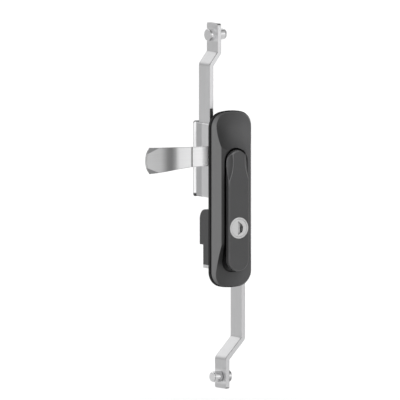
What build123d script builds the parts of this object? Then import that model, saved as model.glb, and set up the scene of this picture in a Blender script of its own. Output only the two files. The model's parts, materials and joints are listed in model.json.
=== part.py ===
from build123d import *
import math
import os

# Swing handle lock with a pop-out lever, a swinging cam and two coupled rods.
# Units: millimetres.  Origin: spindle axis where it crosses the outer face of the door.
# +Z up, -Y towards the person who uses the handle, +X to that person's right.

# ---- driving dimensions --------------------------------------------------------------
# dish (the housing on the outside of the door)
DISH_HW = 18.0          # half width at the back
DISH_TOP = 38.4
DISH_BOT = -97.0
DISH_CORNER = 11.5
DISH_ARCH = 50.0        # radius of the gently arched ends
GASKET_T = 2.6
EDGE_T = 1.0            # upright edge before the drafted wall starts
WALL_DRAFT = 35.0       # degrees
RIM_Y = -10.4
FLOOR_Y = -5.0
SLOT_HW = 10.4          # half width of the trough the lever lies over
SLOT_BOT = -85.4
BOSS_R = 10.2

# lever
LEV_HW = 9.1
LEV_TOP = 9.5
LEV_BOT = -84.1
LEV_FACE = -14.9
LEV_UNDER = -10.7
LEV_CORNER = 8.9
LEV_ROUND = 1.1
PIVOT_Y = -12.6
PIVOT_R = 1.2
PIVOT_HALF = 5.4        # half length of the pivot pin

# key cylinder, in the lever
CYL_Z = -50.7
CYL_R = 8.25
PLUG_R = 6.85
CYL_FACE = -15.1
TONGUE_REACH = 9.2

# spindle and the gear that drives the rods
HUB_R = 8.0
RUN = 0.05              # running clearance on radius
SHANK_R = 4.2
SHANK_AF = 6.4
GEAR_M = 1.0
GEAR_N = 13
GEAR_PA = math.radians(25.0)
PITCH_R = GEAR_M * GEAR_N / 2
BACKLASH = 0.12
STROKE = PITCH_R * math.pi / 2

# layers behind the door
HOOK_Y0, HOOK_Y1 = 2.1, 3.1
CAM_Y0, CAM_Y1 = 3.4, 5.6
CAM_CRANK = 1.2
BOX_Y0, BOX_SPLIT, BOX_Y1 = 5.9, 17.2, 29.9
BOX_X0, BOX_X1 = -14.0, 20.4
BOX_HZ = 28.8
BOX_WALL = 1.0
BOX_BACK = 1.2
ROD_Y0, ROD_Y1 = 7.2, 23.2
ROD_T = 3.0
RACK_U = (9.8, 14.2)    # layer of the upper rod's rack
RACK_L = (14.6, 19.0)   # layer of the lower rod's rack

# rods: X of the left face before and after the joggle
UP_X, UP_TIP_X = -12.7, -5.5
UP_Z0, UP_J0, UP_J1, UP_Z1 = 8.0, 74.2, 83.4, 105.4
LO_X, LO_TIP_X = 16.1, 1.9
LO_Z0, LO_J0, LO_J1, LO_Z1 = -8.0, -138.4, -153.6, -177.2
UP_PIN_Z, LO_PIN_Z = 96.5, -168.2
PIN_Y = (ROD_Y0 + ROD_Y1) / 2
ROLLER_R = 4.15
STUD_R = 2.5
HEAD_R = 4.65

# lock case behind the dish
CASE_HW = 14.0
CASE_TOP, CASE_STEP, CASE_BOT = -37.9, -65.4, -80.7
CASE_Y1, CASE_Y2 = 20.0, 14.9


# ---- helpers ----------------------------------------------------------------------------
def at_y(y):
    return Plane.XZ.offset(-y)


def prism(sketch, y0, y1):
    """The XZ sketch as a solid from y0 to y1 (y0 < y1)."""
    return extrude(at_y(y1) * sketch, amount=y1 - y0)


def block(x0, x1, y0, y1, z0, z1):
    return Pos((x0 + x1) / 2, (y0 + y1) / 2, (z0 + z1) / 2) * Box(x1 - x0, y1 - y0, z1 - z0)


def ycyl(r, y0, y1, x=0.0, z=0.0):
    return Pos(x, (y0 + y1) / 2, z) * Rot(90, 0, 0) * Cylinder(r, y1 - y0)


def xcyl(r, x0, x1, y, z):
    return Pos((x0 + x1) / 2, y, z) * Rot(0, 90, 0) * Cylinder(r, x1 - x0)


def zcyl(r, z0, z1, x, y):
    return Pos(x, y, (z0 + z1) / 2) * Cylinder(r, z1 - z0)


def solid_of(shape):
    return shape.solids().sort_by(SortBy.VOLUME)[-1]


os.makedirs("parts", exist_ok=True)
nodes = {}


def arched(hw, top, bot, corner, arch):
    """Rounded rectangle in XZ whose two ends are shallow arcs."""
    sag = arch - math.sqrt(arch * arch - hw * hw)
    zt, zb = top - sag, bot + sag
    edges = [
        Line((-hw, zb), (-hw, zt)),
        ThreePointArc((-hw, zt), (0, top), (hw, zt)),
        Line((hw, zt), (hw, zb)),
        ThreePointArc((hw, zb), (0, bot), (-hw, zb)),
    ]
    face = make_face(Curve() + edges)
    return fillet(face.vertices(), corner)


# ---- dish ----------------------------------------------------------------------------------
outline = arched(DISH_HW, DISH_TOP, DISH_BOT, DISH_CORNER, DISH_ARCH)
edge_y = -GASKET_T - EDGE_T
dish = prism(outline, edge_y, -GASKET_T)
dish += extrude(at_y(edge_y) * outline, amount=edge_y - RIM_Y, taper=WALL_DRAFT)


def scoop(z_low, y_low, r_long, r_cross):
    """Barrel that hollows the dish: deepest at (y_low, z_low), r_long along Z and r_cross along X."""
    w = 24.0
    sag = r_cross - math.sqrt(r_cross * r_cross - w * w)
    half = make_face(Curve() + [
        ThreePointArc((-w, r_long - sag), (0, r_long), (w, r_long - sag)),
        Line((w, r_long - sag), (w, 0)), Line((w, 0), (-w, 0)), Line((-w, 0), (-w, r_long - sag)),
    ])
    return Pos(0, y_low - r_long, z_low) * revolve(half, axis=Axis.X)


dish -= scoop(33.0, -4.4, 55.0, 55.0)
dish -= scoop(-106.0, -3.5, 160.0, 70.0)

# trough under the lever, round at the spindle and squared off with round corners below
SLOT_TOP_Z = 0.3
slot_box = Pos(0, (SLOT_BOT + SLOT_TOP_Z) / 2) * Rectangle(2 * SLOT_HW, SLOT_TOP_Z - SLOT_BOT)
slot_low = slot_box.vertices().sort_by(Axis.Y)[:2]
slot = fillet(slot_low, 9.6) + Pos(0, SLOT_TOP_Z) * Circle(SLOT_HW)
dish -= prism(slot, -20, FLOOR_Y)
# deeper at the low end, where the dish slopes down to meet it
dish -= prism(slot & Pos(0, -76.5) * Rectangle(30, 20), -20, FLOOR_Y + 1.1)

# boss that carries the spindle through the door, and two posts for the gearbox
dish += ycyl(BOSS_R, FLOOR_Y + 0.5, 1.9)
dish -= ycyl(HUB_R + RUN, -30, 30)
POSTS = [(-9.0, -25.5), (9.0, -25.5)]
for px, pz in POSTS:
    dish += ycyl(2.7, -GASKET_T - 0.6, BOX_Y0, px, pz)
    dish -= ycyl(1.5, -3.8, 30, px, pz)
CASE_SCREWS = [(0.0, -48.5), (0.0, -61.0)]
for sx, sz in CASE_SCREWS:
    dish -= ycyl(1.5, -4.0, 30, sx, sz)

# seat for the steel keeper in the right-hand trough wall, below the rim
KEEP = dict(x0=8.55, x1=11.0, z0=CYL_Z - 4.4, z1=CYL_Z + 4.4, top=-9.6)
dish -= block(SLOT_HW - 0.5, KEEP["x1"], KEEP["top"], FLOOR_Y, KEEP["z0"], KEEP["z1"])
# seat for the locating hook
dish -= block(-15.4, -13.4, -3.6, 0, 22.0, 26.0)
nodes["dish"] = solid_of(dish)

# ---- gasket between dish and door -------------------------------------------------------
g_out = arched(DISH_HW + 0.6, DISH_TOP + 0.6, DISH_BOT - 0.6, DISH_CORNER + 0.6, DISH_ARCH)
g_in = arched(DISH_HW - 3.9, DISH_TOP - 3.9, DISH_BOT + 3.9, DISH_CORNER - 3.9, DISH_ARCH)
gasket = prism(g_out, -GASKET_T, 0) - prism(g_in, -GASKET_T - 1, 1)
gasket -= block(-15.4, -13.4, -3.6, 0.1, 22.0, 26.0)
nodes["gasket"] = solid_of(gasket)

# ---- keeper: a small steel bracket the key-driven tongue hooks under -----------------------
keeper = block(KEEP["x0"], KEEP["x1"], KEEP["top"], FLOOR_Y, KEEP["z0"], KEEP["z1"])
keeper += block(KEEP["x0"], LEV_HW, -13.4, KEEP["top"], KEEP["z0"], CYL_Z - 3.0)
keeper += block(KEEP["x0"], LEV_HW, -13.4, -12.8, KEEP["z0"], KEEP["z1"])
nodes["lock_keeper"] = solid_of(keeper)

# ---- locating hook that reaches up behind the door sheet -------------------------------------
hook = block(-15.4, -13.4, HOOK_Y0, HOOK_Y1, 22.0, 40.9)
hook += block(-15.4, -13.4, -3.6, HOOK_Y0, 22.0, 26.0)
nodes["door_hook"] = solid_of(hook)

# ---- lock case behind the lower half of the dish ------------------------------------------
case = block(-CASE_HW, CASE_HW, -GASKET_T, CASE_Y1, CASE_STEP, CASE_TOP)
case = fillet(case.edges().filter_by(Axis.X).group_by(Axis.Z)[-1].sort_by(Axis.Y)[-1:], 8.0)
low = block(-CASE_HW, CASE_HW, -GASKET_T, CASE_Y2, CASE_BOT, CASE_STEP)
case += low
inner = block(-CASE_HW + 1.6, CASE_HW - 1.6, -GASKET_T, CASE_Y1 - 1.6, CASE_STEP + 0.0, CASE_TOP - 1.6)
inner = fillet(inner.edges().filter_by(Axis.X).group_by(Axis.Z)[-1].sort_by(Axis.Y)[-1:], 6.4)
inner += block(-CASE_HW + 1.6, CASE_HW - 1.6, -GASKET_T, CASE_Y2 - 1.6, CASE_BOT + 2.6, CASE_STEP + 0.5)
case -= inner
for sx, sz in CASE_SCREWS:
    case -= ycyl(1.5, 0, 30, sx, sz)
CLAMP_SCREWS = [(-8.0, 8.5), (8.0, 8.5)]
for sx, sy in CLAMP_SCREWS:
    case += zcyl(3.2, CASE_BOT + 0.5, CASE_BOT + 9.0, sx, sy)
    case -= zcyl(1.6, CASE_BOT - 1, CASE_BOT + 8.0, sx, sy)
nodes["lock_case"] = solid_of(case)

case_screws = []
for sx, sz in CASE_SCREWS:
    s = ycyl(1.5, -4.0, CASE_Y1, sx, sz) + ycyl(2.9, CASE_Y1, CASE_Y1 + 2.0, sx, sz)
    s = fillet(s.edges().group_by(Axis.Y)[-1], 0.8)
    s -= block(sx - 0.35, sx + 0.35, CASE_Y1 + 1.0, CASE_Y1 + 3, sz - 2.2, sz + 2.2)
    s -= block(sx - 2.2, sx + 2.2, CASE_Y1 + 1.0, CASE_Y1 + 3, sz - 0.35, sz + 0.35)
    case_screws.append(solid_of(s))
nodes["lock_case_screws"] = Compound(case_screws)

# ---- clamp bracket that grips the inside of the door ---------------------------------------
br = block(-CASE_HW, CASE_HW, HOOK_Y0, CASE_Y2, CASE_BOT - 2.5, CASE_BOT)
br += block(-CASE_HW, CASE_HW, HOOK_Y0, HOOK_Y0 + 2.5, CASE_BOT - 13.0, CASE_BOT)
br = fillet(br.edges().filter_by(Axis.Y).group_by(Axis.Z)[0], 3.0)
for sx, sy in CLAMP_SCREWS:
    br -= zcyl(1.6, CASE_BOT - 4, CASE_BOT + 1, sx, sy)
nodes["clamp_bracket"] = solid_of(br)

clamp_screws = []
for sx, sy in CLAMP_SCREWS:
    zt = CASE_BOT - 2.5
    s = zcyl(1.6, zt - 0.1, CASE_BOT + 8.0, sx, sy) + zcyl(3.0, zt - 2.0, zt, sx, sy)
    s = fillet(s.edges().group_by(Axis.Z)[0], 0.7)
    s -= block(sx - 0.35, sx + 0.35, sy - 2.2, sy + 2.2, zt - 3, zt - 1.0)
    clamp_screws.append(solid_of(s))
nodes["clamp_screws"] = Compound(clamp_screws)

# ---- gearbox shells ---------------------------------------------------------------------------
ROD_GAP = 0.3


def rod_slots():
    up = block(UP_X - ROD_GAP + 0.05, UP_X + ROD_T + ROD_GAP, ROD_Y0 - ROD_GAP, ROD_Y1 + ROD_GAP, BOX_HZ - 5, BOX_HZ + 5)
    lo = block(LO_X - ROD_GAP, LO_X + ROD_T + ROD_GAP, ROD_Y0 - ROD_GAP, ROD_Y1 + ROD_GAP, -BOX_HZ - 5, -BOX_HZ + 5)
    return up, lo


LIP_Y = 28.5             # front of the back plate
LIP_W = 1.4              # depth of the waist in front of it
LIP_Z = 0.4              # how far the back plate stands above and below the box
POCKET_Y = 24.4          # depth of the rods' space
SIDE_R = 1.8


def box_corners(b, r):
    """Round the four edges that run front to back."""
    return fillet(b.edges().filter_by(Axis.Y), r)


front = box_corners(block(BOX_X0, BOX_X1, BOX_Y0, BOX_SPLIT, -BOX_HZ, BOX_HZ), SIDE_R)
front = chamfer(front.edges().group_by(Axis.Y)[0], 0.8)
front -= box_corners(block(BOX_X0 + BOX_WALL, BOX_X1 - BOX_WALL, BOX_Y0 + BOX_WALL, BOX_SPLIT, -BOX_HZ + BOX_WALL, BOX_HZ - BOX_WALL), SIDE_R - 0.6)
back = box_corners(block(BOX_X0, BOX_X1, BOX_SPLIT, LIP_Y + 0.9, -BOX_HZ, BOX_HZ), SIDE_R)
# a shallow waist on both sides, flaring out again to the back plate
for x_out, s in ((BOX_X0, 1), (BOX_X1, -1)):
    waist = make_face(Polyline((x_out - s, POCKET_Y), (x_out, POCKET_Y), (x_out + s * LIP_W, POCKET_Y + LIP_W),
                               (x_out + s * LIP_W, LIP_Y + 0.4 - LIP_W * 1.25), (x_out, LIP_Y + 0.4), (x_out - s, LIP_Y + 0.4), close=True))
    back -= Pos(0, 0, -BOX_HZ - 1) * extrude(waist, amount=2 * BOX_HZ + 2)
back_plate = box_corners(block(BOX_X0, BOX_X1, LIP_Y + 0.4, BOX_Y1, -BOX_HZ - LIP_Z, BOX_HZ + LIP_Z), SIDE_R)
back_plate = chamfer(back_plate.edges().group_by(Axis.Y)[-1], 0.4)
back += back_plate
back -= block(BOX_X0 + LIP_W + 1.2, BOX_X1 - LIP_W - 1.2, BOX_SPLIT, BOX_Y1 - BOX_BACK, -BOX_HZ + BOX_WALL, BOX_HZ - BOX_WALL)
back -= box_corners(block(BOX_X0 + BOX_WALL, BOX_X1 - BOX_WALL, BOX_SPLIT, POCKET_Y, -BOX_HZ + BOX_WALL, BOX_HZ - BOX_WALL), SIDE_R - 0.6)
for s in rod_slots():
    front -= s
    back -= s
BUSH_R = 6.4
front -= ycyl(BUSH_R, 0, BOX_SPLIT)
back -= ycyl(BUSH_R, BOX_SPLIT, 40)
for px, pz in POSTS:
    front -= ycyl(1.5, 0, 40, px, pz)
    back -= ycyl(1.5, 0, 40, px, pz)
nodes["gearbox_front_shell"] = solid_of(front)
nodes["gearbox_back_shell"] = solid_of(back)

screws = []
for px, pz in POSTS:
    s = ycyl(1.5, -3.8, BOX_Y1, px, pz) + ycyl(2.9, BOX_Y1, BOX_Y1 + 2.1, px, pz)
    s = fillet(s.edges().group_by(Axis.Y)[-1], 0.8)
    s -= block(px - 0.4, px + 0.4, BOX_Y1 + 1.0, BOX_Y1 + 3, pz - 2.2, pz + 2.2)
    s -= block(px - 2.2, px + 2.2, BOX_Y1 + 1.0, BOX_Y1 + 3, pz - 0.4, pz + 0.4)
    screws.append(solid_of(s))
nodes["gearbox_screws"] = Compound(screws)

# ---- bushes -------------------------------------------------------------------------------------
fb = ycyl(BUSH_R, BOX_Y0 - 0.1, 9.3) + ycyl(BUSH_R + 1.2, BOX_Y0 + BOX_WALL, 8.4)
fb -= ycyl(SHANK_R + RUN, 0, 20)
nodes["front_bush"] = solid_of(fb)
rb = ycyl(BUSH_R, 19.7, BOX_Y1) + ycyl(BUSH_R + 1.2, BOX_Y1 - BOX_BACK - 2.0, BOX_Y1 - BOX_BACK)
rb -= ycyl(SHANK_R + RUN, 0, 40)
nodes["rear_bush"] = solid_of(rb)


# ---- spindle ----------------------------------------------------------------------------------
def shank(y0, y1):
    return prism(Rectangle(SHANK_AF, SHANK_AF) & Circle(SHANK_R), y0, y1)


HUB_TOP = -6.3
spindle = ycyl(HUB_R, HUB_TOP, CAM_Y0)
lug = block(-3.2, 3.2, PIVOT_Y, HUB_TOP, -1.6, 1.6) + xcyl(1.6, -3.2, 3.2, PIVOT_Y, 0)
lug += block(-3.2, 3.2, -9.6, HUB_TOP, -4.0, 1.6)
spindle += lug
spindle += shank(CAM_Y0, 30.0)
spindle -= xcyl(PIVOT_R + RUN, -5, 5, PIVOT_Y, 0)
spindle -= ycyl(1.6, 20.0, 31)
nodes["spindle"] = solid_of(spindle)


def shank_hole(y0, y1):
    return shank(y0, y1)


# cam (tongue) that swings behind the door frame
arm = [(-2.0, 11.8), (-32.0, 12.0), (-69.6, 13.5), (-72.4, 8.6), (-73.3, 3.5), (-72.6, -1.8), (-69.4, -6.9), (-32.0, -3.5), (-2.0, -3.6)]
cam_sk = make_face(Curve() + [
    Polyline(arm[0], arm[1], arm[2]),
    ThreePointArc(arm[2], arm[4], arm[6]),
    Polyline(arm[6], arm[7], arm[8], arm[0]),
])
# the plate is flat at the spindle and cranked a little towards the door further out
C_A, C_B = -45.4, -57.5


def crank_line(dy):
    return (20.0, CAM_Y0 + dy), (C_A, CAM_Y0 + dy), (C_B, CAM_Y0 - CAM_CRANK + dy), (-80.0, CAM_Y0 - CAM_CRANK + dy)


# bent sharply where the crank starts, then easing out flat towards the tip
f = crank_line(0)
g = crank_line(CAM_Y1 - CAM_Y0)
side = make_face(Curve() + [
    Line(f[0], f[1]), TangentArc(f[2], f[1], tangent=(1, 0)), Line(f[2], f[3]),
    Line(f[3], g[3]),
    Line(g[3], g[2]), TangentArc(g[2], g[1], tangent=(1, 0)), Line(g[1], g[0]),
    Line(g[0], f[0]),
])
plate = Pos(0, 0, -30) * extrude(side, amount=60)
cam = plate & prism(cam_sk, CAM_Y0 - 4, CAM_Y1 + 1)
cam += ycyl(9.4, CAM_Y0, CAM_Y1)
cam -= shank_hole(CAM_Y0 - 1, CAM_Y1 + 1)
# crease across the front of the plate where the arm leaves the root
cam -= block(-31.7, -30.8, CAM_Y0 - 1, CAM_Y0 + 0.5, -20, 20)
# bevelled front corners of the tip
tip_y = CAM_Y0 - CAM_CRANK
for sgn, px, pz in ((1, -66.4, 11.3), (-1, -66.4, -4.4)):
    m = Vector(-0.36, 0, 0.93 * sgn)
    n = m * math.sin(math.radians(28)) + Vector(0, -1, 0) * math.cos(math.radians(28))
    cam -= Plane(origin=(px, tip_y, pz), z_dir=n) * Pos(0, 0, 10) * Box(60, 60, 20)
nodes["cam"] = solid_of(cam)


# pinion, involute teeth
def pinion_points():
    rb_ = PITCH_R * math.cos(GEAR_PA)
    ra_, rf_ = PITCH_R + 0.9 * GEAR_M, PITCH_R - 1.2 * GEAR_M
    half = (math.pi * GEAR_M / 2 - BACKLASH) / (2 * PITCH_R)
    inv = lambda a: math.tan(a) - a
    flank = []
    for i in range(6):
        r = rb_ + (ra_ - rb_) * i / 5
        flank.append((r, half + inv(GEAR_PA) - inv(math.acos(min(1.0, rb_ / r)))))
    pts = []
    for k in range(GEAR_N):
        c = 2 * math.pi * k / GEAR_N
        side = [(rf_, flank[0][1] + 0.03)] + flank
        for r, a in side:
            pts.append((r * math.cos(c - a), r * math.sin(c - a)))
        for r, a in reversed(side):
            pts.append((r * math.cos(c + a), r * math.sin(c + a)))
    return pts


pin_pts = pinion_points()
pinion = prism(make_face(Polyline(*pin_pts, close=True)), 9.5, 19.5) - shank_hole(9, 20)
nodes["pinion"] = solid_of(pinion)

nodes["spindle_washer"] = solid_of(ycyl(7.4, 30.0, 31.2) - ycyl(1.6, 29, 32))
ss = ycyl(1.6, 20.5, 31.2) + ycyl(3.4, 31.2, 33.6)
ss = fillet(ss.edges().group_by(Axis.Y)[-1], 0.6)
ss -= prism(RegularPolygon(1.6, 6), 32.0, 34)
nodes["spindle_screw"] = solid_of(ss)


# ---- racks --------------------------------------------------------------------------------------
def rack_profile(tooth_at_zero, z_from, z_to, body_x):
    """Rack facing -X with its pitch line at x = PITCH_R, as a closed XZ face."""
    p = math.pi * GEAR_M
    tip_x, root_x = PITCH_R - 0.9 * GEAR_M, PITCH_R + 1.15 * GEAR_M
    half_p = (p / 2 - BACKLASH) / 2
    t = math.tan(GEAR_PA)
    half_tip = half_p - (PITCH_R - tip_x) * t
    half_root = half_p + (root_x - PITCH_R) * t
    pts = [(root_x, z_from)]
    k = math.ceil((z_from + half_root) / p - (0 if tooth_at_zero else 0.5))
    while True:
        c = (k + (0 if tooth_at_zero else 0.5)) * p
        if c + half_root > z_to:
            break
        pts += [(root_x, c - half_root), (tip_x, c - half_tip), (tip_x, c + half_tip), (root_x, c + half_root)]
        k += 1
    pts += [(root_x, z_to), (body_x, z_to), (body_x, z_from)]
    return make_face(Polyline(*pts, close=True))


WIN_FAR = 7.9                       # clear of the gear's teeth
WIN_LO, WIN_HI = -8.2, 7.9 + STROKE + 0.5
MEM = 3.2
U_OUT = UP_X + ROD_T                # face of the upper rod the rack is riveted to
upper_rack = prism(rack_profile(False, WIN_LO, WIN_HI, 11.2), *RACK_U)
upper_rack += block(PITCH_R + 0.6, 11.2, *RACK_U, WIN_LO - MEM, WIN_LO)
upper_rack += block(U_OUT, 11.2, *RACK_U, WIN_LO - MEM, WIN_LO)
upper_rack += block(U_OUT, 11.2, *RACK_U, WIN_HI, WIN_HI + MEM)
upper_rack += block(U_OUT, -WIN_FAR + 0.2, *RACK_U, WIN_LO - MEM, WIN_HI + MEM)

lower_rack = prism(rack_profile(True, -WIN_HI, -WIN_LO, 9.75 - 0.0), *RACK_L)
lower_rack = mirror(lower_rack, about=Plane.YZ)
lower_rack += block(-9.5, LO_X, *RACK_L, -WIN_LO, -WIN_LO + MEM)
lower_rack += block(-9.5, LO_X, *RACK_L, -WIN_HI - MEM, -WIN_HI)
lower_rack += block(WIN_FAR - 0.2, LO_X, *RACK_L, -WIN_HI - MEM, -WIN_LO + MEM)
lower_rack &= block(-9.5, 30, 0, 40, -40, 40)

RIV_U = [(12.0, 12.0), (12.0, 19.5)]     # (y, z)
RIV_L = [(16.8, -12.0), (16.8, -19.5)]
for y, z in RIV_U:
    upper_rack -= xcyl(1.2, -20, -7, y, z)
for y, z in RIV_L:
    lower_rack -= xcyl(1.2, 11.0, 25, y, z)
nodes["upper_rack"] = solid_of(upper_rack)
nodes["lower_rack"] = solid_of(lower_rack)
nodes["upper_rack_rivets"] = Compound([solid_of(xcyl(1.2, UP_X, -WIN_FAR + 0.2, y, z)) for y, z in RIV_U])
nodes["lower_rack_rivets"] = Compound([solid_of(xcyl(1.2, 11.0, LO_X + ROD_T, y, z)) for y, z in RIV_L])


# ---- rods -----------------------------------------------------------------------------------------
def rod(x_a, z_a, z_b, x_b, z_c, z_d):
    """Flat bar with one joggle: left face at x_a from z_a to z_b, then at x_b from z_c to z_d."""
    s = 1 if z_d > z_a else -1
    dx, dz = x_b - x_a, abs(z_c - z_b)
    # the right face is the left face moved square to itself, so the slanted part keeps its thickness
    ang = math.atan2(dx, dz)
    k = ROD_T * math.tan(ang / 2)
    left = [(x_a, z_a), (x_a, z_b), (x_b, z_c), (x_b, z_d)]
    right = [(x_a + ROD_T, z_a), (x_a + ROD_T, z_b - s * k), (x_b + ROD_T, z_c - s * k), (x_b + ROD_T, z_d)]
    body = prism(make_face(Polyline(*left, *reversed(right), close=True)), ROD_Y0, ROD_Y1)
    bends = [e for e in body.edges().filter_by(Axis.Y)
             if min(abs(e.center().Z - z_b), abs(e.center().Z - z_c), abs(e.center().Z - (z_b - s * k)), abs(e.center().Z - (z_c - s * k))) < 0.02]
    inner, outer = [], []
    for e in bends:
        c = e.center()
        first = min(abs(c.Z - z_b), abs(c.Z - (z_b - s * k))) < 0.02
        on_right = c.X > (x_a if first else x_b) + ROD_T / 2
        # at the first bend the bar turns towards x_b: the inside of the bend is on that side
        inside = on_right == (dx > 0) if first else on_right != (dx > 0)
        (inner if inside else outer).append(e)
    body = fillet(inner, 1.5)
    outer_again = [e for e in body.edges().filter_by(Axis.Y)
                   if any((e.center() - o.center()).length < 0.05 for o in outer)]
    body = fillet(outer_again, 1.5 + ROD_T)
    return body


upper_rod = rod(UP_X, UP_Z0, UP_J0, UP_TIP_X, UP_J1, UP_Z1)
lower_rod = rod(LO_X, LO_Z0, LO_J0, LO_TIP_X, LO_J1, LO_Z1)
upper_rod = chamfer(upper_rod.edges().filter_by(Axis.X).group_by(Axis.Z)[-1], 1.0)
lower_rod = chamfer(lower_rod.edges().filter_by(Axis.X).group_by(Axis.Z)[0], 1.0)
upper_rod -= xcyl(STUD_R, -20, 20, PIN_Y, UP_PIN_Z)
lower_rod -= xcyl(STUD_R, -20, 20, PIN_Y, LO_PIN_Z)
for y, z in RIV_U:
    upper_rod -= xcyl(1.2, -20, -7, y, z)
for y, z in RIV_L:
    lower_rod -= xcyl(1.2, 11.0, 25, y, z)
nodes["upper_rod"] = solid_of(upper_rod)
nodes["lower_rod"] = solid_of(lower_rod)


# ---- rollers on the rod ends -----------------------------------------------------------------
def roller_set(prefix, x_face, s, z):
    """s = +1: roller on the +X side of the bar, head on the -X side."""
    near = x_face + ROD_T if s > 0 else x_face
    far = x_face if s > 0 else x_face + ROD_T

    def xs(a, b):
        return (min(a, b), max(a, b))
    head = xcyl(HEAD_R, *xs(far, far - s * 4.8), PIN_Y, z)
    out_edge = head.edges().filter_by(GeomType.CIRCLE).sort_by(Axis.X)[0 if s > 0 else -1]
    head = chamfer(out_edge, 0.5)
    stud = head + xcyl(STUD_R, *xs(far, near + s * 7.0), PIN_Y, z)
    roller = xcyl(ROLLER_R, *xs(near + s * 0.2, near + s * 6.7), PIN_Y, z)
    ends = roller.edges().filter_by(GeomType.CIRCLE)
    roller = fillet(ends, 0.5) - xcyl(STUD_R + RUN, -40, 40, PIN_Y, z)
    cap = xcyl(3.8, *xs(near + s * 6.9, near + s * 8.2), PIN_Y, z)
    cap_edge = cap.edges().filter_by(GeomType.CIRCLE).sort_by(Axis.X)[-1 if s > 0 else 0]
    cap = fillet(cap_edge, 0.9)
    cap -= xcyl(STUD_R, *xs(near, near + s * 7.0), PIN_Y, z)
    nodes[prefix + "_roller_stud"] = solid_of(stud)
    nodes[prefix + "_roller"] = solid_of(roller)
    nodes[prefix + "_roller_cap"] = solid_of(cap)


roller_set("upper", UP_TIP_X, +1, UP_PIN_Z)
roller_set("lower", LO_TIP_X, -1, LO_PIN_Z)

# ---- lever ----------------------------------------------------------------------------------------
head_c = LEV_TOP - LEV_HW
lev_low = Pos(0, (LEV_BOT + head_c) / 2) * Rectangle(2 * LEV_HW, head_c - LEV_BOT)
lev_sk = fillet(lev_low.vertices().sort_by(Axis.Y)[:2], LEV_CORNER) + Pos(0, head_c) * Circle(LEV_HW)
lever = prism(lev_sk, LEV_FACE, LEV_UNDER)
lever = fillet(lever.edges().group_by(Axis.Y)[0], LEV_ROUND)
# a finger hollow on each side of the head
for s in (-1, 1):
    lever -= Pos(s * 39.2, -46.7, 1.0) * Sphere(46.55)
# pocket for the spindle's lug
lever -= block(-3.5, 3.5, -14.4, LEV_UNDER + 1, -5.2, 5.2)
lever -= xcyl(PIVOT_R, -PIVOT_HALF, PIVOT_HALF, PIVOT_Y, 0)
# notch in the right-hand side for the keeper
lever -= block(KEEP["x0"] - 0.35, 20, -13.7, LEV_UNDER + 1, KEEP["z0"] - 0.5, KEEP["z1"] + 0.5)
# key cylinder seat and the pocket its tongue turns in
lever -= ycyl(CYL_R, -20, -12.9, 0, CYL_Z)
lever -= ycyl(CYL_R - 0.6, -13.5, -12.0, 0, CYL_Z)
sector = ycyl(TONGUE_REACH + 0.6, -12.9, -10, 0, CYL_Z) & block(-5.0, 20, -20, 0, CYL_Z - 5.0, CYL_Z + 20)
lever -= sector
nodes["lever"] = solid_of(lever)
nodes["pivot_pin"] = solid_of(xcyl(PIVOT_R, -PIVOT_HALF, PIVOT_HALF, PIVOT_Y, 0))

ring = ycyl(CYL_R, CYL_FACE, -12.9, 0, CYL_Z)
ring = fillet(ring.edges().group_by(Axis.Y)[0], 0.35)
ring -= ycyl(PLUG_R + RUN, -30, 0, 0, CYL_Z)
nodes["cylinder_ring"] = solid_of(ring)

plug = ycyl(PLUG_R, CYL_FACE, -12.6, 0, CYL_Z)
plug = fillet(plug.edges().group_by(Axis.Y)[0], 0.25)
d_sk = make_face(Polyline((-1.0, 5.3), (2.5, 2.6), (3.4, 0.9), (3.3, -1.4), (2.7, -3.1), (-1.0, -5.3), close=True))
plug -= prism(Pos(0, CYL_Z) * d_sk, CYL_FACE - 1, CYL_FACE + 1.2)
plug -= block(1.5, 2.6, CYL_FACE - 1, CYL_FACE + 2.0, CYL_Z - 3.5, CYL_Z + 1.0)
plug -= ycyl(1.1, -13.4, -12, 0, CYL_Z)
nodes["cylinder_plug"] = solid_of(plug)

tongue = ycyl(4.4, -12.6, -11.5, 0, CYL_Z) + block(-2.3, 2.3, -12.6, -11.5, CYL_Z, CYL_Z + TONGUE_REACH)
tongue = fillet(tongue.edges().filter_by(Axis.Y).sort_by(Axis.Z)[-2:], 1.0)
tongue -= ycyl(1.1, -20, 0, 0, CYL_Z)
nodes["lock_tongue"] = solid_of(tongue)
ts = ycyl(1.1, -13.4, -11.5, 0, CYL_Z) + ycyl(2.2, -11.5, -11.32, 0, CYL_Z)
nodes["tongue_screw"] = solid_of(ts)

for name, shape in nodes.items():
    export_step(shape, f"parts/{name}.step")
    bb = shape.bounding_box()
    print(f"{name:22s} {shape.volume:10.1f} mm3  x {bb.min.X:7.2f} {bb.max.X:7.2f}  y {bb.min.Y:7.2f} {bb.max.Y:7.2f}  z {bb.min.Z:7.2f} {bb.max.Z:7.2f}")
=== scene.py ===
import json
import math
import bpy
import bmesh
from mathutils import Vector, Matrix


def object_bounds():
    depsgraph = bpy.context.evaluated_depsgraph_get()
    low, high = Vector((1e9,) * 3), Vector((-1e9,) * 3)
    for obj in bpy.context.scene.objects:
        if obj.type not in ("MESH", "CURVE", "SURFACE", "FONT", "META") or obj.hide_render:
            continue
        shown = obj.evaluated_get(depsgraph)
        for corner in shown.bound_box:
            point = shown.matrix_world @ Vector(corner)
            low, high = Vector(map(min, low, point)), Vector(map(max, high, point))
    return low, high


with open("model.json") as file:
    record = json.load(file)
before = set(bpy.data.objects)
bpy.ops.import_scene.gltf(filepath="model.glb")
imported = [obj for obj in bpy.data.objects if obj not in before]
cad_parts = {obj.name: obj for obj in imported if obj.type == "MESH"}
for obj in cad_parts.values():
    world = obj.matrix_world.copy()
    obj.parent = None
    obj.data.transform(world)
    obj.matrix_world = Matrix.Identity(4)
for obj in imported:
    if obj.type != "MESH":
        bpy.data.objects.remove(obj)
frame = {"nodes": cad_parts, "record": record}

cad_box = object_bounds()

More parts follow.
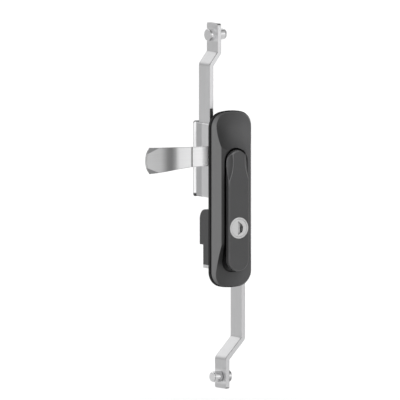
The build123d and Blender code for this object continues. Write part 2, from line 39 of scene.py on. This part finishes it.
# ------------------------------------------------------------------ camera
AZ, EL = math.radians(-32.0), math.radians(6.0)
PX_PER_M = 1300.0
back = Vector((math.sin(AZ) * math.cos(EL), -math.cos(AZ) * math.cos(EL), math.sin(EL)))
right = Vector((math.cos(AZ), math.sin(AZ), 0.0))
up = back.cross(right)
cam_data = bpy.data.cameras.new("camera")
cam_data.type = "ORTHO"
cam_data.ortho_scale = 400.0 / PX_PER_M
cam = bpy.data.objects.new("camera", cam_data)
bpy.context.scene.collection.objects.link(cam)
# the spindle's axis at the door plane sits at (228.9, 160.75) in the 400 x 400 frame
target = right * ((200.0 - 228.9) / PX_PER_M) + up * ((160.75 - 200.0) / PX_PER_M)
cam.location = target + back * 1.2
cam.rotation_mode = "QUATERNION"
cam.rotation_quaternion = back.to_track_quat("Z", "Y")
cam_data.clip_start, cam_data.clip_end = 0.01, 50.0
bpy.context.scene.camera = cam

# ------------------------------------------------------------------ material helpers


class Nodes:
    """Small helper round one material's node tree."""

    def __init__(self, name):
        self.mat = bpy.data.materials.new(name)
        self.mat.use_nodes = True
        self.t = self.mat.node_tree
        self.bsdf = self.t.nodes["Principled BSDF"]
        self.coord = self.t.nodes.new("ShaderNodeTexCoord")

    def new(self, kind, **props):
        n = self.t.nodes.new(kind)
        for k, v in props.items():
            setattr(n, k, v)
        return n

    def link(self, a, b):
        self.t.links.new(a, b)

    def mapping(self, scale=(1, 1, 1), rot=(0, 0, 0), loc=(0, 0, 0)):
        m = self.new("ShaderNodeMapping")
        m.inputs["Scale"].default_value = scale
        m.inputs["Rotation"].default_value = rot
        m.inputs["Location"].default_value = loc
        self.link(self.coord.outputs["Object"], m.inputs["Vector"])
        return m.outputs["Vector"]

    def noise(self, scale, detail=4.0, rough=0.5, vec=None, dist=0.0):
        n = self.new("ShaderNodeTexNoise")
        n.inputs["Scale"].default_value = scale
        n.inputs["Detail"].default_value = detail
        n.inputs["Roughness"].default_value = rough
        n.inputs["Distortion"].default_value = dist
        self.link(vec if vec is not None else self.coord.outputs["Object"], n.inputs["Vector"])
        return n.outputs["Fac"]

    def ramp(self, fac, stops):
        r = self.new("ShaderNodeValToRGB")
        el = r.color_ramp.elements
        while len(el) > 2:
            el.remove(el[-1])
        for i, (p, c) in enumerate(stops):
            e = el[i] if i < 2 else el.new(p)
            e.position = p
            e.color = (*c, 1.0) if len(c) == 3 else c
        self.link(fac, r.inputs["Fac"])
        return r.outputs["Color"]

    def rng(self, fac, lo, hi, f0=0.0, f1=1.0):
        m = self.new("ShaderNodeMapRange")
        m.inputs["From Min"].default_value = f0
        m.inputs["From Max"].default_value = f1
        m.inputs["To Min"].default_value = lo
        m.inputs["To Max"].default_value = hi
        self.link(fac, m.inputs["Value"])
        return m.outputs["Result"]

    def math(self, op, a, b=None):
        m = self.new("ShaderNodeMath", operation=op)
        for i, v in enumerate((a, b)):
            if v is None:
                continue
            if isinstance(v, (int, float)):
                m.inputs[i].default_value = v
            else:
                self.link(v, m.inputs[i])
        return m.outputs[0]

    def mix(self, fac, a, b, blend="MIX"):
        m = self.new("ShaderNodeMix", data_type="RGBA", blend_type=blend)
        if isinstance(fac, (int, float)):
            m.inputs["Factor"].default_value = fac
        else:
            self.link(fac, m.inputs["Factor"])
        for key, v in ((6, a), (7, b)):
            if isinstance(v, tuple):
                m.inputs[key].default_value = (*v, 1.0)
            else:
                self.link(v, m.inputs[key])
        return m.outputs[2]

    def bump(self, height, strength, distance, normal=None):
        b = self.new("ShaderNodeBump")
        b.inputs["Strength"].default_value = strength
        b.inputs["Distance"].default_value = distance
        self.link(height, b.inputs["Height"])
        if normal is not None:
            self.link(normal, b.inputs["Normal"])
        return b.outputs["Normal"]

    def rounded(self, radius, samples=4):
        """Shading normal that follows a small radius along every edge."""
        b = self.new("ShaderNodeBevel", samples=samples)
        b.inputs["Radius"].default_value = radius
        return b.outputs["Normal"]

    def edges(self, radius, samples=4, full=0.86, none=0.998):
        """1 along every sharp edge, 0 on the faces: where a rounded normal parts from the true one."""
        g = self.new("ShaderNodeNewGeometry")
        d = self.new("ShaderNodeVectorMath", operation="DOT_PRODUCT")
        self.link(self.rounded(radius, samples), d.inputs[0])
        self.link(g.outputs["Normal"], d.inputs[1])
        return self.rng(d.outputs["Value"], 1.0, 0.0, full, none)

    def hollow(self, distance, samples=4):
        """0 in the open, 1 deep in a corner or a slot."""
        o = self.new("ShaderNodeAmbientOcclusion", samples=samples)
        o.inputs["Distance"].default_value = distance
        return self.rng(o.outputs["AO"], 1.0, 0.0, 0.25, 0.95)

    def set(self, **vals):
        for k, v in vals.items():
            s = self.bsdf.inputs[k.replace("_", " ")]
            if isinstance(v, (int, float)):
                s.default_value = v
            elif isinstance(v, tuple):
                s.default_value = (*v, 1.0) if len(v) == 3 else v
            else:
                self.link(v, s)


def coat_black(name, base, rough, radius=0.0, spec=0.5, line=0.00035, edge_highlight_to=2.3, edge_highlight_by=0.55, full=0.86, reach=0.004, painted_corner_shade=0.55, painted_flank_light=None, painted_light_across=None, painted_shade_fade=None, painted_rim_shading=None, painted_scoop_shade=None):
    """Powder coat on a casting: fine orange peel, a painted highlight along the edges and painted shade in corners and
    slots.
    """
    n = Nodes(name)
    peel = n.noise(2600.0, 2.0, 0.45)
    fine = n.noise(9000.0, 2.0, 0.5)
    cloud = n.noise(55.0, 5.0, 0.55)
    col = n.ramp(cloud, [(0.35, tuple(c * 0.94 for c in base)), (0.68, tuple(c * 1.06 for c in base))])
    if painted_light_across:
        # painted shade and painted light from side to side: darker towards the left, paler towards the right: (place
        # along X in metres, factor)
        sep0 = n.new("ShaderNodeSeparateXYZ")
        n.link(n.coord.outputs["Object"], sep0.inputs[0])
        lo_p, hi_p = painted_light_across[0][0], painted_light_across[-1][0]
        painted_shading_tint = n.ramp(n.rng(sep0.outputs[0], 0.0, 1.0, lo_p, hi_p), [((p - lo_p) / (hi_p - lo_p), (f, f, f)) for p, f in painted_light_across])
        col = n.mix(1.0, col, painted_shading_tint, "MULTIPLY")
    if painted_flank_light:
        # the drafted sides are painted lighter than the flat front: painted light
        sep = n.new("ShaderNodeSeparateXYZ")
        n.link(n.coord.outputs["Normal"], sep.inputs[0])
        on = n.math("MULTIPLY", n.rng(n.math("ABSOLUTE", sep.outputs[0]), 0.0, 1.0, 0.35, 0.80), n.rng(sep.outputs[1], 1.0, 0.0, -0.45, -0.25))
        on = n.math("MULTIPLY", on, n.rng(sep.outputs[1], 0.0, 1.0, -0.85, -0.70))
        col = n.mix(on, col, painted_flank_light)
    if painted_rim_shading:
        # a painted highlight along the rounded outer corner on the right
        sep7 = n.new("ShaderNodeSeparateXYZ")
        n.link(n.coord.outputs["Normal"], sep7.inputs[0])
        on7 = n.math("MULTIPLY", n.rng(sep7.outputs[0], 0.0, 1.0, 0.12, 0.30), n.rng(sep7.outputs[1], 1.0, 0.0, -0.55, -0.40))
        on7 = n.math("MULTIPLY", on7, n.rng(n.math("ABSOLUTE", sep7.outputs[2]), 1.0, 0.0, 0.3, 0.6))
        pos7 = n.new("ShaderNodeSeparateXYZ")
        n.link(n.coord.outputs["Object"], pos7.inputs[0])
        on7 = n.math("MULTIPLY", on7, n.rng(pos7.outputs[0], 0.0, 1.0, 0.0090, 0.0110))
        col = n.mix(on7, col, painted_rim_shading)
    # painted highlight along the edges, broken up by noise
    painted_edge_glint = n.math("MULTIPLY", n.edges(line, full=full), n.rng(n.noise(300.0, 4.0, 0.6), 0.6, 1.0, 0.40, 0.62))
    if painted_scoop_shade:
        # the finger hollows either side of the head: on the left one, painted shade under the lip and painted light
        # where the finger runs out;
        # along the right shoulder a thin painted shadow crescent
        sep8 = n.new("ShaderNodeSeparateXYZ")
        n.link(n.coord.outputs["Normal"], sep8.inputs[0])
        pos8 = n.new("ShaderNodeSeparateXYZ")
        n.link(n.coord.outputs["Object"], pos8.inputs[0])
        inside = n.math("MULTIPLY", n.rng(n.math("ABSOLUTE", sep8.outputs[0]), 0.0, 1.0, 0.50, 0.58), n.rng(sep8.outputs[1], 1.0, 0.0, -0.62, -0.52))
        lo_y, hi_y = painted_scoop_shade[0][0], painted_scoop_shade[-1][0]
        tint8 = n.ramp(n.rng(pos8.outputs[1], 0.0, 1.0, lo_y, hi_y), [((p - lo_y) / (hi_y - lo_y), (f, f, f)) for p, f in painted_scoop_shade])
        left8 = n.math("MULTIPLY", inside, n.rng(pos8.outputs[0], 1.0, 0.0, -0.001, 0.001))
        col = n.mix(left8, col, n.mix(1.0, base, tint8, "MULTIPLY"))
        gap8 = n.new("ShaderNodeVectorMath", operation="DISTANCE")
        flat8 = n.new("ShaderNodeCombineXYZ")
        n.link(pos8.outputs[0], flat8.inputs[0])
        n.link(pos8.outputs[2], flat8.inputs[2])
        n.link(flat8.outputs[0], gap8.inputs[0])
        gap8.inputs[1].default_value = (-0.0016, 0.0, 0.0006)
        right8 = n.math("MULTIPLY", n.rng(gap8.outputs["Value"], 0.0, 1.0, 0.0084, 0.0089), n.rng(pos8.outputs[2], 0.0, 1.0, 0.0000, 0.0045))
        right8 = n.math("MULTIPLY", right8, n.rng(pos8.outputs[0], 0.0, 1.0, -0.0010, 0.0025))
        painted_edge_glint = n.math("MULTIPLY", painted_edge_glint, n.rng(pos8.outputs[0], 1.0, 0.2, -0.001, 0.003))
        painted_edge_glint = n.math("MULTIPLY", painted_edge_glint, n.rng(pos8.outputs[2], 0.35, 1.0, -0.0190, -0.0145))
    # the painted edge highlight is mixed in here
    col = n.mix(n.math("MULTIPLY", painted_edge_glint, edge_highlight_by), col, tuple(min(1.0, c * edge_highlight_to + 0.02) for c in base))
    # the painted shadow crescent along the right shoulder, near black
    if painted_scoop_shade:
        col = n.mix(n.math("MULTIPLY", right8, 0.97), col, tuple(c * 0.05 for c in base))
    # painted shade in corners, slots and hollows, taken from how enclosed each point is
    deep = n.hollow(reach)
    if painted_shade_fade:
        # the painted corner shade is weakened towards the right side: (from, to) along X in metres
        sep9 = n.new("ShaderNodeSeparateXYZ")
        n.link(n.coord.outputs["Object"], sep9.inputs[0])
        deep = n.math("MULTIPLY", deep, n.rng(sep9.outputs[0], 1.0, 0.2, painted_shade_fade[0], painted_shade_fade[1]))
    # painted shade: dark colour where the point is enclosed
    col = n.mix(n.math("MULTIPLY", deep, painted_corner_shade), col, tuple(c * 0.12 for c in base))
    r = n.math("ADD", n.rng(cloud, rough - 0.03, rough + 0.04, 0.3, 0.7), n.rng(peel, -0.03, 0.03, 0.3, 0.7))
    r = n.math("MINIMUM", n.math("ADD", r, n.math("MULTIPLY", deep, 0.45)), 1.0)
    # the painted shade also takes the gloss off, so shaded slots render black
    matt = n.rng(n.math("MULTIPLY", deep, painted_corner_shade), 0.0, 1.0, 0.40, 0.90)
    if painted_scoop_shade:
        matt = n.math("MAXIMUM", matt, n.math("MULTIPLY", right8, 0.97))
    h = n.math("ADD", n.math("MULTIPLY", peel, 0.7), n.math("MULTIPLY", fine, 0.3))
    n.set(Base_Color=col, Roughness=r, Normal=n.bump(h, 0.12, 0.00005, n.rounded(radius) if radius else None))
    n.set(Specular_IOR_Level=spec, IOR=1.5, Metallic=matt)
    return n.mat


def plastic_black(name, base, rough, radius=0.0004):
    """Moulded case: fine spark-eroded grain, a painted highlight along the edges and painted shade in the corners."""
    n = Nodes(name)
    spark = n.noise(5200.0, 3.0, 0.6)
    cloud = n.noise(80.0, 4.0, 0.5)
    col = n.ramp(cloud, [(0.3, tuple(c * 0.92 for c in base)), (0.7, tuple(c * 1.08 for c in base))])
    # painted highlight along the edges
    col = n.mix(n.math("MULTIPLY", n.edges(0.0004), 0.30), col, tuple(min(1.0, c * 2.2 + 0.02) for c in base))
    # painted shade in the corners
    col = n.mix(n.math("MULTIPLY", n.hollow(0.004), 0.5), col, tuple(c * 0.3 for c in base))
    n.set(Base_Color=col, Roughness=n.rng(spark, rough - 0.05, rough + 0.06, 0.3, 0.7),
          Normal=n.bump(spark, 0.18, 0.00006, n.rounded(radius)))
    n.set(Specular_IOR_Level=0.5)
    return n.mat


def rubber(name):
    n = Nodes(name)
    g = n.noise(3800.0, 3.0, 0.6)
    cloud = n.noise(120.0, 4.0, 0.5)
    col = n.ramp(cloud, [(0.3, (0.006, 0.006, 0.006)), (0.7, (0.012, 0.012, 0.0125))])
    n.set(Base_Color=col, Roughness=n.rng(cloud, 0.66, 0.82, 0.3, 0.7), Normal=n.bump(g, 0.3, 0.0001))
    n.set(Specular_IOR_Level=0.2)
    return n.mat


def metal(name, base, rough, brush=(1, 1, 0.02), scale=5200.0, strength=0.05, metallic=1.0, radius=0.0004, painted_shading=None,
          painted_hollow_shade=0.55, reach=0.004, painted_facet_shade=None, line=0.00025, painted_edge_to=1.2, painted_edge_by=0.30, painted_bend_shade=0.0, narrow_face_light=1.0, painted_top_shade=0.0, painted_slope_light=None):
    """Plated steel: fine grain along one direction, soft clouds of roughness, painted edge lines (light by default),
    painted shade in the corners.
    One table of (axis, [(place in metres, factor), ...]) paints shade and light along one axis."""
    n = Nodes(name)
    v = n.mapping(scale=brush)
    grain = n.noise(scale, 3.0, 0.55, v)
    long_ = n.noise(scale * 0.22, 3.0, 0.5, v)
    cloud = n.noise(38.0, 5.0, 0.6)
    lo = tuple(c * 0.975 for c in base)
    hi = tuple(min(1.0, c * 1.02) for c in base)
    col = n.ramp(long_, [(0.35, lo), (0.65, hi)])
    s = n.rng(n.noise(700.0, 4.0, 0.7), 0.0, 0.25, 0.68, 0.82)
    col = n.mix(s, col, tuple(c * 0.80 for c in base))
    if painted_slope_light:
        # slanted faces between side and front get a painted highlight
        sep6 = n.new("ShaderNodeSeparateXYZ")
        n.link(n.coord.outputs["Normal"], sep6.inputs[0])
        on6 = n.math("MULTIPLY", n.rng(n.math("ABSOLUTE", sep6.outputs[0]), 0.0, 1.0, 0.45, 0.55), n.rng(sep6.outputs[1], 1.0, 0.0, -0.55, -0.40))
        on6 = n.math("MULTIPLY", on6, n.rng(n.math("ABSOLUTE", sep6.outputs[2]), 1.0, 0.0, 0.2, 0.4))
        col = n.mix(on6, col, painted_slope_light)
        # and a painted shadow at the foot, near black
        pos6 = n.new("ShaderNodeSeparateXYZ")
        n.link(n.coord.outputs["Object"], pos6.inputs[0])
        foot6 = n.math("MULTIPLY", on6, n.rng(pos6.outputs[2], 1.0, 0.0, -0.0270, -0.0262))
        col = n.mix(foot6, col, (0.07, 0.07, 0.07))
    # painted shade and painted light along one axis, from the stop table
    if painted_shading:
        axis, stops = painted_shading
        sep = n.new("ShaderNodeSeparateXYZ")
        n.link(n.coord.outputs["Object"], sep.inputs[0])
        lo_p, hi_p = stops[0][0], stops[-1][0]
        wav = n.math("MULTIPLY", n.rng(n.noise(120.0, 3.0, 0.5), -1.0, 1.0, 0.3, 0.7), 0.0002)
        pos = n.rng(n.math("ADD", sep.outputs[axis], wav), 0.0, 1.0, lo_p, hi_p)
        painted_shading_tint = n.ramp(pos, [((p - lo_p) / (hi_p - lo_p), (f, f, f)) for p, f in stops])
        col = n.mix(1.0, col, painted_shading_tint, "MULTIPLY")
    if painted_facet_shade:
        # painted shade on the small slanted faces: darker than the plated faces
        g = n.new("ShaderNodeNewGeometry")
        sep2 = n.new("ShaderNodeSeparateXYZ")
        tr = n.new("ShaderNodeVectorTransform", vector_type="NORMAL", convert_from="WORLD", convert_to="OBJECT")
        n.link(g.outputs["True Normal"], tr.inputs[0])
        n.link(tr.outputs[0], sep2.inputs[0])
        az = n.math("ABSOLUTE", sep2.outputs[2])
        on = n.math("MULTIPLY", n.rng(az, 0.0, 1.0, 0.30, 0.36), n.rng(az, 1.0, 0.0, 0.50, 0.56))
        col = n.mix(n.math("MULTIPLY", on, painted_facet_shade), col, tuple(c * 0.22 for c in base))
    # painted edge lines: a painted highlight by default, a painted dark line where the factor is below 1
    painted_rim_shading = n.edges(line)
    col = n.mix(n.math("MULTIPLY", painted_rim_shading, painted_edge_by), col, tuple(min(1.0, c * painted_edge_to) for c in base))
    if painted_top_shade:
        # painted shade: a dark band along the upper side of a stud's head
        sep5 = n.new("ShaderNodeSeparateXYZ")
        n.link(n.coord.outputs["Normal"], sep5.inputs[0])
        band = n.math("MULTIPLY", n.rng(sep5.outputs[2], 0.0, 1.0, 0.45, 0.62), n.rng(sep5.outputs[2], 1.0, 0.0, 0.86, 0.97))
        col = n.mix(n.math("MULTIPLY", band, painted_top_shade), col, tuple(c * 0.10 for c in base))
    if narrow_face_light != 1.0:
        # painted light on the thin faces of a bar, which face front and back: a different brightness from the wide
        # ones
        sep4 = n.new("ShaderNodeSeparateXYZ")
        n.link(n.coord.outputs["Normal"], sep4.inputs[0])
        side = n.rng(n.math("ABSOLUTE", sep4.outputs[1]), 0.0, 1.0, 0.6, 0.8)
        col = n.mix(side, col, tuple(min(1.0, c * narrow_face_light) for c in base))
    if painted_bend_shade:
        # painted shade along the corners of the slanted piece of a joggle
        sep3 = n.new("ShaderNodeSeparateXYZ")
        n.link(n.coord.outputs["Normal"], sep3.inputs[0])
        tilt = n.rng(n.math("ABSOLUTE", sep3.outputs[2]), 0.0, 1.0, 0.25, 0.35)
        pos3 = n.new("ShaderNodeSeparateXYZ")
        n.link(n.coord.outputs["Object"], pos3.inputs[0])
        bends_on = n.rng(pos3.outputs[1], 1.0, 0.0, 0.0095, 0.0125)
        col = n.mix(n.math("MULTIPLY", n.math("MULTIPLY", n.edges(0.0028, full=0.93), tilt), n.math("MULTIPLY", bends_on, painted_bend_shade)), col, tuple(c * 0.12 for c in base))
    # painted shade in corners and hollows
    if painted_hollow_shade:
        col = n.mix(n.math("MULTIPLY", n.hollow(reach), painted_hollow_shade), col, tuple(c * 0.18 for c in base))
    r = n.math("ADD", n.rng(cloud, rough - 0.04, rough + 0.05, 0.3, 0.7), n.rng(grain, -0.03, 0.03, 0.3, 0.7))
    n.set(Base_Color=col, Roughness=r, Normal=n.bump(grain, strength, 0.00002, n.rounded(radius) if radius else None))
    n.set(Metallic=metallic)
    return n.mat


# painted shade and painted light along the cam's length (X): darker towards the tip and darkest through the bend, a
# painted dark line in the crease near the root, painted light at the root next to the dish
CAM_PAINTED_SHADE = (0, [(-0.0740, 0.60), (-0.0610, 0.545), (-0.0595, 0.50), (-0.0568, 0.365), (-0.0541, 0.238), (-0.0523, 0.205), (-0.0505, 0.198),
                (-0.0496, 0.222), (-0.0478, 0.31), (-0.0469, 0.385), (-0.0460, 0.43), (-0.0454, 0.50), (-0.0450, 0.587), (-0.0441, 0.66),
                (-0.0432, 0.77), (-0.0423, 0.84), (-0.0410, 0.87), (-0.0380, 0.91), (-0.0330, 0.95), (-0.03175, 0.90), (-0.0316, 0.18), (-0.0309, 0.18), (-0.03075, 0.98), (-0.0260, 1.12), (-0.0200, 1.34)])
# painted shade into the keyway recess along Y: darker on the recess floor, near black deeper in the slot
PLUG_PAINTED_SHADE = (1, [(-0.0152, 1.0), (-0.0149, 0.98), (-0.0146, 0.82), (-0.0139, 0.78), (-0.01385, 0.30), (-0.0134, 0.06)])
# painted shade at the bottom and top edges of the gearbox back (along Z)
SHELL_PAINTED_SHADE = (2, [(-0.0293, 0.10), (-0.0284, 0.12), (-0.0278, 1.0), (0.0283, 1.0), (0.0287, 0.40), (0.0293, 0.30)])
M = {
    # dish: painted shade and light from side to side, painted light on the drafted sides and the rounded right corner,
    # painted corner shade weakened on the right
    "black_coat": coat_black("dish coat", (0.030, 0.030, 0.031), 0.34, radius=0.0009, edge_highlight_by=0.12, reach=0.011, painted_corner_shade=0.92, painted_flank_light=(0.125, 0.125, 0.126),
                             painted_light_across=[(-0.0120, 0.40), (-0.0070, 0.56), (0.0, 1.0), (0.0070, 1.38), (0.0100, 1.62), (0.0140, 1.75)],
                             painted_shade_fade=(0.0074, 0.0095), painted_rim_shading=(0.115, 0.115, 0.116)),
    # lever: strong painted edge highlight, painted shade and light in the finger hollows
    "lever_coat": coat_black("lever coat", (0.036, 0.036, 0.037), 0.40, edge_highlight_by=0.95, edge_highlight_to=5.0, full=0.97, line=0.0009, reach=0.005, painted_corner_shade=0.7, painted_flank_light=(0.052, 0.052, 0.053),
                             painted_scoop_shade=[(-0.0149, 0.62), (-0.0138, 0.62), (-0.0128, 1.05), (-0.0120, 1.40), (-0.0112, 1.75)]),
    "black_plastic": plastic_black("case plastic", (0.020, 0.020, 0.021), 0.46),
    "gasket_rubber": rubber("gasket rubber"),
    "zinc_steel": metal("plated steel", (0.52, 0.52, 0.525), 0.34),
    # rods: painted shade at the joggle corners, painted light on the thin faces
    "rod_steel": metal("rod steel", (0.47, 0.47, 0.475), 0.36, brush=(1, 1, 0.02), radius=0.0006, painted_hollow_shade=0.1, painted_bend_shade=1.0, narrow_face_light=1.05),
    "gear_steel": metal("gear steel", (0.42, 0.42, 0.43), 0.35, radius=0.0002),
    # cam: painted shade along its length, on its small slanted faces and as dark edge lines
    "cam_steel": metal("cam steel", (0.74, 0.74, 0.745), 0.34, brush=(0.02, 1, 1), metallic=0.3, radius=0.0002, painted_shading=CAM_PAINTED_SHADE, painted_hollow_shade=0.0, painted_facet_shade=0.9,
                       line=0.0011, painted_edge_to=0.25, painted_edge_by=0.8),
    "gearbox_metal": metal("gearbox steel", (0.50, 0.50, 0.505), 0.36, brush=(1, 1, 0.03), radius=0.0004, painted_hollow_shade=0.3),
    "roller_steel": metal("roller steel", (0.56, 0.56, 0.565), 0.14, brush=(1, 0.1, 0.1), radius=0.0003, painted_hollow_shade=0.1, reach=0.002),
    "cylinder_chrome": metal("cylinder nickel", (0.48, 0.48, 0.48), 0.32, brush=(1, 1, 1), scale=3000.0, radius=0.0002, painted_hollow_shade=0.3, reach=0.0022),
    "bush_brass": metal("bush brass", (0.66, 0.50, 0.26), 0.35),
}
OWN = {
    # gearbox back: painted shade at the top and bottom edges, painted highlight on the slanted strip
    "gearbox_back_shell": metal("gearbox back steel", (0.37, 0.37, 0.375), 0.40, brush=(1, 1, 0.03), radius=0.0004, painted_hollow_shade=0.3, painted_shading=SHELL_PAINTED_SHADE, painted_slope_light=(0.85, 0.85, 0.855)),
    "spindle": metal("blackened steel", (0.05, 0.05, 0.052), 0.42, radius=0.0003),
    # painted light on the rod face beside the stud, where its shadow falls
    "upper_rod": metal("upper rod steel", (0.47, 0.47, 0.475), 0.36, brush=(1, 1, 0.02), radius=0.0006, painted_hollow_shade=0.0, painted_bend_shade=1.0, narrow_face_light=1.25,
                       painted_shading=(2, [(0.0910, 1.0), (0.0930, 1.35), (0.1000, 1.35), (0.1020, 1.0)])),
    # painted light on the rod face beside the stud, where its shadow falls
    "lower_rod": metal("lower rod steel", (0.47, 0.47, 0.475), 0.36, brush=(1, 1, 0.02), radius=0.0006, painted_hollow_shade=0.0, painted_bend_shade=1.0, narrow_face_light=1.05,
                       painted_shading=(2, [(-0.1745, 1.0), (-0.1725, 1.35), (-0.1640, 1.35), (-0.1620, 1.0)])),
    # painted shade on the stud's head, painted light nearer the rod
    "upper_roller_stud": metal("upper stud steel", (0.56, 0.56, 0.565), 0.14, brush=(1, 0.1, 0.1), radius=0.0003, painted_hollow_shade=0.0, reach=0.002, painted_top_shade=0.05,
                               painted_shading=(0, [(-0.0103, 0.78), (-0.0086, 0.78), (-0.0080, 1.35), (-0.0040, 1.35)])),
    # painted shade in bands above and below the middle of the stud
    "lower_roller_stud": metal("lower stud steel", (0.56, 0.56, 0.565), 0.14, brush=(1, 0.1, 0.1), radius=0.0003, painted_hollow_shade=0.0, reach=0.002,
                               painted_shading=(2, [(-0.1729, 0.55), (-0.1708, 0.48), (-0.1700, 0.58), (-0.1686, 0.95), (-0.1668, 0.95), (-0.1656, 0.58), (-0.1636, 0.40)])),
    # painted shade into the keyway recess
    "cylinder_plug": metal("plug nickel", (0.48, 0.48, 0.48), 0.32, brush=(1, 1, 1), scale=3000.0, radius=0.0002, painted_hollow_shade=0.4, reach=0.003, painted_shading=PLUG_PAINTED_SHADE),
    "door_hook": plastic_black("hook black", (0.004, 0.004, 0.004), 0.55),
}
slot_of = {s["node"]: s["material_slot"] for s in frame["record"]["subparts"]}
for name, obj in frame["nodes"].items():
    obj.data.materials.clear()
    obj.data.materials.append(OWN.get(name) or M[slot_of[name]])

# ------------------------------------------------------------------ floor, light
floor_mesh = bpy.data.meshes.new("floor")
bm = bmesh.new()
zf = cad_box[0].z - 0.012
bmesh.ops.create_grid(bm, x_segments=1, y_segments=1, size=8.0)
bm.to_mesh(floor_mesh)
bm.free()
floor = bpy.data.objects.new("floor", floor_mesh)
floor.location = (0, 0, zf)
bpy.context.scene.collection.objects.link(floor)
fm = Nodes("floor paint")
fm.set(Base_Color=fm.ramp(fm.noise(3.0, 3.0, 0.5), [(0.3, (0.90, 0.90, 0.90)), (0.7, (0.93, 0.93, 0.93))]), Roughness=0.8)
fm.set(Specular_IOR_Level=0.0)
floor_mesh.materials.append(fm.mat)

# a soft studio: one even dome with a few broad softboxes painted into it
world = bpy.data.worlds.new("studio")
world.use_nodes = True
bpy.context.scene.world = world
wt = world.node_tree
bg = wt.nodes["Background"]
wc = wt.nodes.new("ShaderNodeTexCoord")
wn = wt.nodes.new("ShaderNodeVectorMath")
wn.operation = "NORMALIZE"
wt.links.new(wc.outputs["Generated"], wn.inputs[0])


def wmath(op, a, b):
    m = wt.nodes.new("ShaderNodeMath")
    m.operation = op
    for i, v in enumerate((a, b)):
        if isinstance(v, (int, float)):
            m.inputs[i].default_value = v
        else:
            wt.links.new(v, m.inputs[i])
    return m.outputs[0]


def lobe(direction, power, amount):
    d = wt.nodes.new("ShaderNodeVectorMath")
    d.operation = "DOT_PRODUCT"
    wt.links.new(wn.outputs[0], d.inputs[0])
    d.inputs[1].default_value = Vector(direction).normalized()
    return wmath("MULTIPLY", wmath("POWER", wmath("MAXIMUM", d.outputs["Value"], 0.0), power), amount)


BASE = 0.58
LOBES = [
    ((-0.97, -0.20, 0.05), 10.0, 1.2),     # tall softbox on the left
    ((-0.19, 0.80, 0.57), 6.0, 0.95),      # high behind
    ((0.10, -0.95, 0.28), 14.0, 1.3),      # front
    ((0.53, -0.84, 0.05), 16.0, 0.95),     # front right
    ((0.94, -0.34, 0.00), 12.0, -0.5),     # flag on the right
    ((0.53, -0.09, 0.83), 22.0, -1.0),     # flag above right
    ((-0.55, 0.83, 0.00), 14.0, -0.30),    # flag behind left
    ((0.0, 0.0, 1.0), 3.0, 1.1),           # overhead
]
total = BASE
for lb in LOBES:
    total = wmath("ADD", total, lobe(*lb))
total = wmath("MAXIMUM", total, 0.02)
bg.inputs["Color"].default_value = (1, 1, 1, 1)
wt.links.new(total, bg.inputs["Strength"])

bpy.context.scene.view_settings.view_transform = "Standard"
